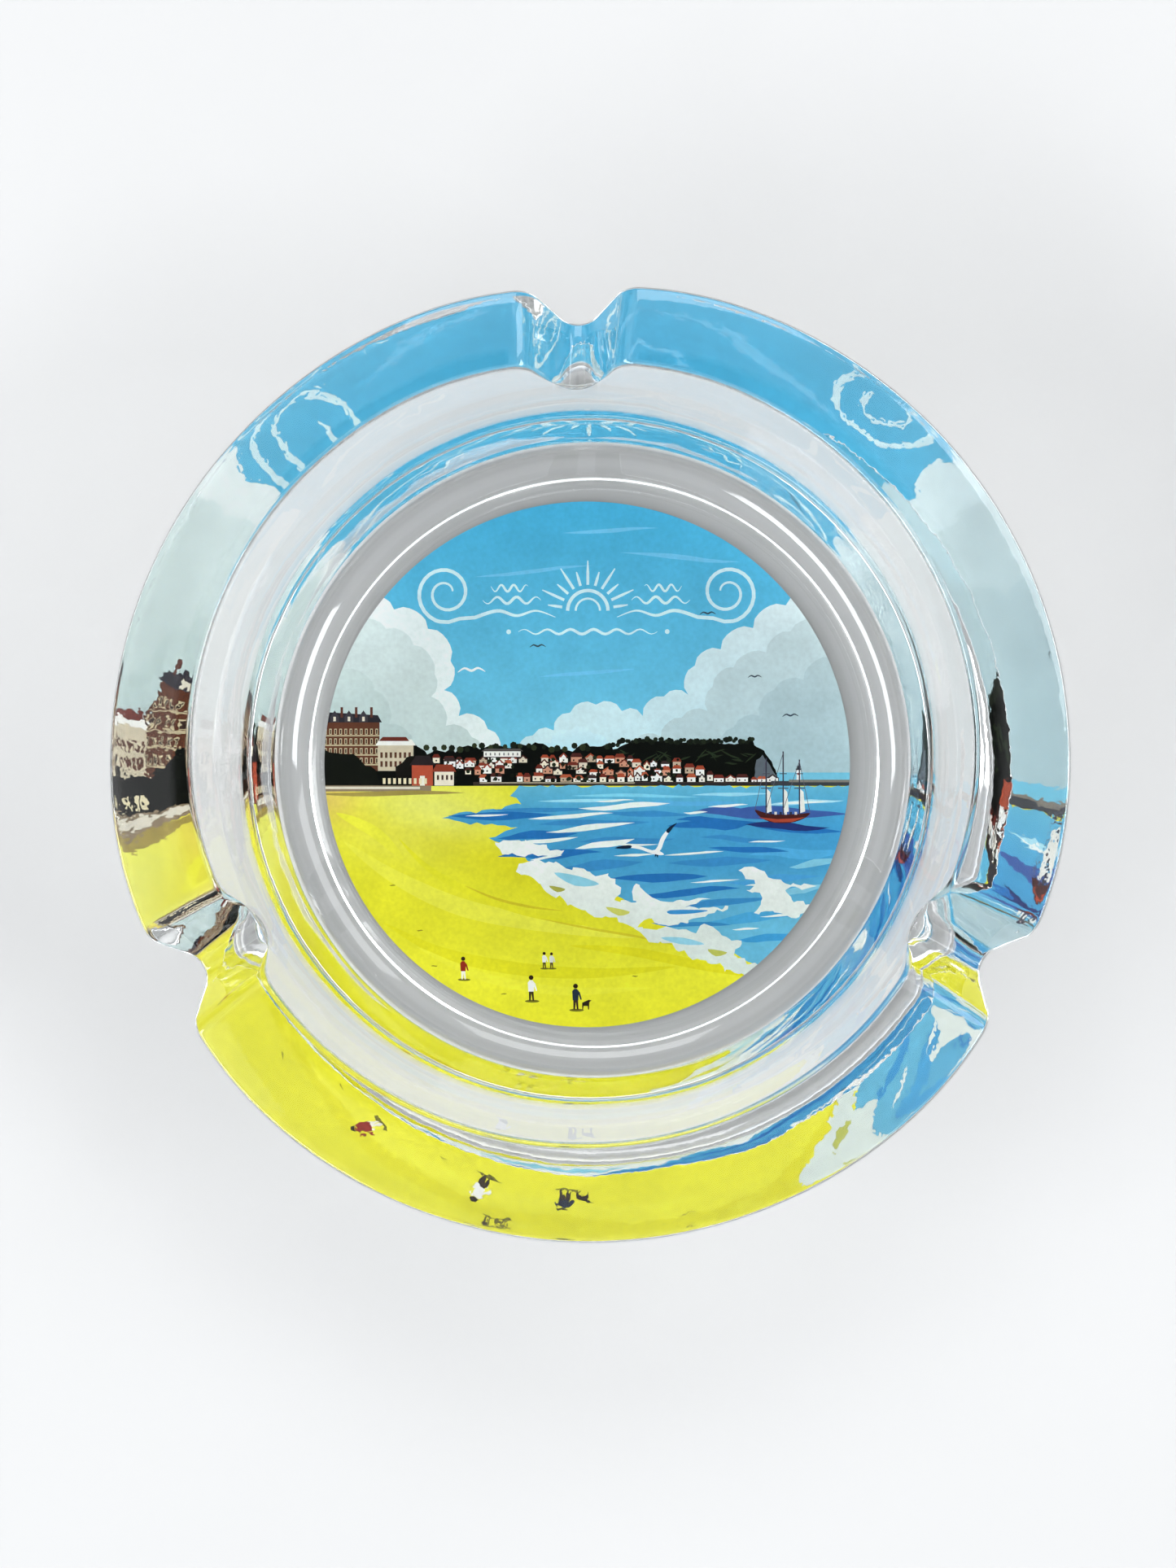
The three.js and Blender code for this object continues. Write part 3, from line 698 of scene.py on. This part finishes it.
def build_picture():
    radius = min(film_high[0] - film_low[0], film_high[1] - film_low[1]) / 2 / MM
    centre = ((film_low[0] + film_high[0]) / 2, (film_low[1] + film_high[1]) / 2)
    scale = radius / PIC
    verts, faces = [], []
    for pts, _ in shapes:
        faces.append(list(range(len(verts), len(verts) + len(pts))))
        verts += [Vector((u * scale, v * scale)) for u, v in pts]
    step = 1.6
    n = int(radius / step)
    for i in range(-n, n + 1):
        for j in range(-n, n + 1):
            x, y = i * step + 0.13 * (j % 2), j * step
            if math.hypot(x, y) < radius - 0.6:
                verts.append(Vector((x, y)))
    co, _, tris, _, _, owners = delaunay_2d_cdt(verts, [], faces, 1, 1e-5, True)
    keep = [(t, max(o)) for t, o in zip(tris, owners) if 0 in o]
    # The film's face is let into the glass by a few hundredths, as a film wetted by clear adhesive sits: no air shows between them.
    top = adhesive_high[2] / MM + 0.03
    bottom = film_low[2] / MM
    bm = bmesh.new()
    layer = bm.loops.layers.float_color.new("picture")
    made = {}
    for t, owner in keep:
        vs = []
        for i in t:
            if i not in made:
                made[i] = bm.verts.new((centre[0] + co[i][0] * MM, centre[1] + co[i][1] * MM, top * MM))
            vs.append(made[i])
        if len(set(vs)) < 3:
            continue
        a, b, c = (v.co for v in vs)
        if abs((b - a).cross(c - a).z) < 1e-14:
            continue
        try:
            f = bm.faces.new(vs)
        except ValueError:
            continue
        if f.calc_area() and (b - a).cross(c - a).z < 0:
            f.normal_flip()
        for loop in f.loops:
            p = loop.vert.co
            loop[layer] = (*shapes[owner][1]((p.x - centre[0]) / MM / scale, (p.y - centre[1]) / MM / scale), 1.0)
    rim = [e for e in bm.edges if len(e.link_faces) == 1]
    out = bmesh.ops.extrude_edge_only(bm, edges=rim)
    low = [g for g in out["geom"] if isinstance(g, bmesh.types.BMVert)]
    for v in low:
        v.co.z = bottom * MM
    for f in [g for g in out["geom"] if isinstance(g, bmesh.types.BMFace)]:
        for loop in f.loops:
            loop[layer] = (0.9, 0.9, 0.88, 1.0)
    middle = bm.verts.new((*centre, bottom * MM))
    low_set = set(low)
    for e in [e for e in bm.edges if e.verts[0] in low_set and e.verts[1] in low_set]:
        f = bm.faces.new((e.verts[0], e.verts[1], middle))
        for loop in f.loops:
            loop[layer] = (0.9, 0.9, 0.88, 1.0)
    bmesh.ops.recalc_face_normals(bm, faces=bm.faces)
    mesh = bpy.data.meshes.new("picture_disc")
    bm.to_mesh(mesh)
    bm.free()
    print("picture:", len(shapes), "shapes,", len(mesh.polygons), "faces")
    return new_object("picture_disc", mesh)


picture = build_picture()
picture_mat, nt, bsdf = material("printed_film")
attribute = node(nt, "ShaderNodeVertexColor", layer_name="picture")
where = node(nt, "ShaderNodeTexCoord")
# Watercolour washes a few millimetres across, and the fine grain of the print.
wash = node(nt, "ShaderNodeTexNoise", Scale=170.0, Detail=4.0, Roughness=0.6)
grain = node(nt, "ShaderNodeTexNoise", Scale=1900.0, Detail=2.0, Roughness=0.5)
wash_range = node(nt, "ShaderNodeMapRange")
grain_range = node(nt, "ShaderNodeMapRange")
for r, lo, hi, a, b in ((wash_range, 0.3, 0.7, 1.02, 1.17), (grain_range, 0.3, 0.7, 0.95, 1.05)):
    r.inputs["From Min"].default_value, r.inputs["From Max"].default_value = lo, hi
    r.inputs["To Min"].default_value, r.inputs["To Max"].default_value = a, b
both = node(nt, "ShaderNodeMath", operation="MULTIPLY")
scaled = node(nt, "ShaderNodeVectorMath", operation="SCALE")
paper = node(nt, "ShaderNodeVectorMath", operation="MINIMUM")
paper.inputs[1].default_value = (0.92, 0.92, 0.91)
for a, b in (
    (where.outputs["Object"], wash.inputs["Vector"]),
    (where.outputs["Object"], grain.inputs["Vector"]),
    (wash.outputs["Fac"], wash_range.inputs["Value"]),
    (grain.outputs["Fac"], grain_range.inputs["Value"]),
    (wash_range.outputs["Result"], both.inputs[0]),
    (grain_range.outputs["Result"], both.inputs[1]),
    (attribute.outputs["Color"], scaled.inputs[0]),
    (both.outputs["Value"], scaled.inputs["Scale"]),
    (scaled.outputs["Vector"], paper.inputs[0]),
    (paper.outputs["Vector"], bsdf.inputs["Base Color"]),
):
    nt.links.new(a, b)
bsdf.inputs["Roughness"].default_value = 0.55
bsdf.inputs["Specular IOR Level"].default_value = 0.0
picture.data.materials.append(picture_mat)
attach(picture, "root")
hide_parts("picture_print_film", "clear_adhesive_layer")


# ------------------------------------------------------------------ the backing
# White satin vinyl on the CAD disc, seen only from below.
backing_mat, nt, bsdf = material("white_satin_vinyl")
where = node(nt, "ShaderNodeTexCoord")
mottle = node(nt, "ShaderNodeTexNoise", Scale=260.0, Detail=3.0, Roughness=0.6)
tint = node(nt, "ShaderNodeValToRGB")
tint.color_ramp.elements[0].position, tint.color_ramp.elements[0].color = 0.35, (0.76, 0.75, 0.71, 1)
tint.color_ramp.elements[1].position, tint.color_ramp.elements[1].color = 0.68, (0.86, 0.86, 0.84, 1)
pebble = node(nt, "ShaderNodeTexNoise", Scale=3200.0, Detail=2.0, Roughness=0.5)
sheen_range = node(nt, "ShaderNodeMapRange")
sheen_range.inputs["To Min"].default_value, sheen_range.inputs["To Max"].default_value = 0.34, 0.5
bump = node(nt, "ShaderNodeBump", Strength=0.35)
bump.inputs["Distance"].default_value = 0.00002
for a, b in (
    (where.outputs["Object"], mottle.inputs["Vector"]),
    (where.outputs["Object"], pebble.inputs["Vector"]),
    (mottle.outputs["Fac"], tint.inputs["Fac"]),
    (mottle.outputs["Fac"], sheen_range.inputs["Value"]),
    (tint.outputs["Color"], bsdf.inputs["Base Color"]),
    (sheen_range.outputs["Result"], bsdf.inputs["Roughness"]),
    (pebble.outputs["Fac"], bump.inputs["Height"]),
    (bump.outputs["Normal"], bsdf.inputs["Normal"]),
):
    nt.links.new(a, b)
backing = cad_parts["white_backing_film"]
backing.data.materials.clear()
backing.data.materials.append(backing_mat)

# ------------------------------------------------------------------ floor
floor_mesh = bpy.data.meshes.new("floor")
floor_mesh.from_pydata([(-9, -9, -0.00006), (9, -9, -0.00006), (9, 9, -0.00006), (-9, 9, -0.00006)], [], [(0, 1, 2, 3)])
floor = new_object("floor", floor_mesh)
floor_mat, nt, bsdf = material("pale_floor")
where = node(nt, "ShaderNodeTexCoord")
cloudy = node(nt, "ShaderNodeTexNoise", Scale=9.0, Detail=4.0, Roughness=0.5)
tone = node(nt, "ShaderNodeValToRGB")
tone.color_ramp.elements[0].position, tone.color_ramp.elements[0].color = 0.3, (0.465, 0.465, 0.46, 1)
tone.color_ramp.elements[1].position, tone.color_ramp.elements[1].color = 0.7, (0.485, 0.485, 0.48, 1)
nt.links.new(where.outputs["Object"], cloudy.inputs["Vector"])
nt.links.new(cloudy.outputs["Fac"], tone.inputs["Fac"])
nt.links.new(tone.outputs["Color"], bsdf.inputs["Base Color"])
bsdf.inputs["Roughness"].default_value = 1.0
bsdf.inputs["Specular IOR Level"].default_value = 0.0
floor.data.materials.append(floor_mat)

# ------------------------------------------------------------------ light
# A pale studio: bright all round, dark straight overhead so the flat glass stays clear, and soft boxes set into it.
world = bpy.data.worlds.new("studio")
bpy.context.scene.world = world
world.use_nodes = True
nt = world.node_tree
background = nt.nodes["Background"]
where = node(nt, "ShaderNodeTexCoord")
apart = node(nt, "ShaderNodeSeparateXYZ")
ramp = node(nt, "ShaderNodeValToRGB")
stops = ramp.color_ramp.elements
stops[0].position, stops[0].color = 0.0, (0.80, 0.81, 0.83, 1)
stops[1].position, stops[1].color = 1.0, (0.05, 0.055, 0.06, 1)
for at, c in [
    (0.04, (0.76, 0.77, 0.79)),
    (0.14, (0.52, 0.53, 0.55)),
    (0.32, (0.42, 0.43, 0.45)),
    (0.47, (1.45, 1.48, 1.52)),
    (0.68, (1.75, 1.78, 1.83)),
    (0.77, (1.10, 1.12, 1.16)),
    (0.90, (0.86, 0.88, 0.92)),
    (0.972, (0.80, 0.82, 0.86)),
    (0.988, (0.12, 0.125, 0.13)),
]:
    stops.new(at).color = (*c, 1)
nt.links.new(where.outputs["Generated"], apart.inputs["Vector"])
nt.links.new(apart.outputs["Z"], ramp.inputs["Fac"])
total = ramp.outputs["Color"]


def soft_box(total, azimuth, elevation, half_wide, half_high, strength, edge=0.12):
    """Adds a rectangle of light to the world, seen from the dish in that direction. Sizes are tangents of half its angles."""
    a, e = math.radians(azimuth), math.radians(elevation)
    ahead = (math.cos(e) * math.cos(a), math.cos(e) * math.sin(a), math.sin(e))
    along = (-math.sin(a), math.cos(a), 0.0)
    up = (-math.sin(e) * math.cos(a), -math.sin(e) * math.sin(a), math.cos(e))
    dots = []
    for axis in (ahead, along, up):
        d = node(nt, "ShaderNodeVectorMath", operation="DOT_PRODUCT")
        d.inputs[1].default_value = axis
        nt.links.new(where.outputs["Generated"], d.inputs[0])
        dots.append(d.outputs["Value"])
    inside = node(nt, "ShaderNodeMath", operation="GREATER_THAN")
    inside.inputs[1].default_value = 0.05
    nt.links.new(dots[0], inside.inputs[0])
    mask = inside.outputs["Value"]
    for d, half in ((dots[1], half_wide), (dots[2], half_high)):
        ratio = node(nt, "ShaderNodeMath", operation="DIVIDE")
        nt.links.new(d, ratio.inputs[0])
        nt.links.new(dots[0], ratio.inputs[1])
        size = node(nt, "ShaderNodeMath", operation="ABSOLUTE")
        nt.links.new(ratio.outputs["Value"], size.inputs[0])
        fade = node(nt, "ShaderNodeMapRange", interpolation_type="SMOOTHSTEP")
        fade.inputs["From Min"].default_value, fade.inputs["From Max"].default_value = half, half * (1 - edge)
        fade.inputs["To Min"].default_value, fade.inputs["To Max"].default_value = 0.0, 1.0
        nt.links.new(size.outputs["Value"], fade.inputs["Value"])
        both = node(nt, "ShaderNodeMath", operation="MULTIPLY")
        nt.links.new(mask, both.inputs[0])
        nt.links.new(fade.outputs["Result"], both.inputs[1])
        mask = both.outputs["Value"]
    light = node(nt, "ShaderNodeVectorMath", operation="SCALE")
    light.inputs[0].default_value = strength
    nt.links.new(mask, light.inputs["Scale"])
    added = node(nt, "ShaderNodeVectorMath", operation="ADD")
    nt.links.new(total, added.inputs[0])
    nt.links.new(light.outputs["Vector"], added.inputs[1])
    return added.outputs["Vector"]


for box_of_light in (
    (208, 31, 0.58, 0.112, (12.6, 12.75, 13.0)),
    (345, 31, 0.27, 0.112, (12.6, 12.75, 13.0)),
    (90, 40, 0.36, 0.16, (3.6, 3.65, 3.7)),
    (28, 40, 0.30, 0.18, (3.6, 3.65, 3.7)),
):
    total = soft_box(total, *box_of_light)
nt.links.new(total, background.inputs["Color"])
background.inputs["Strength"].default_value = 1.0

scene = bpy.context.scene
scene.view_settings.view_transform = "Standard"
scene.cycles.max_bounces = 24
scene.cycles.transmission_bounces = 24
scene.cycles.diffuse_bounces = 4
scene.cycles.glossy_bounces = 12
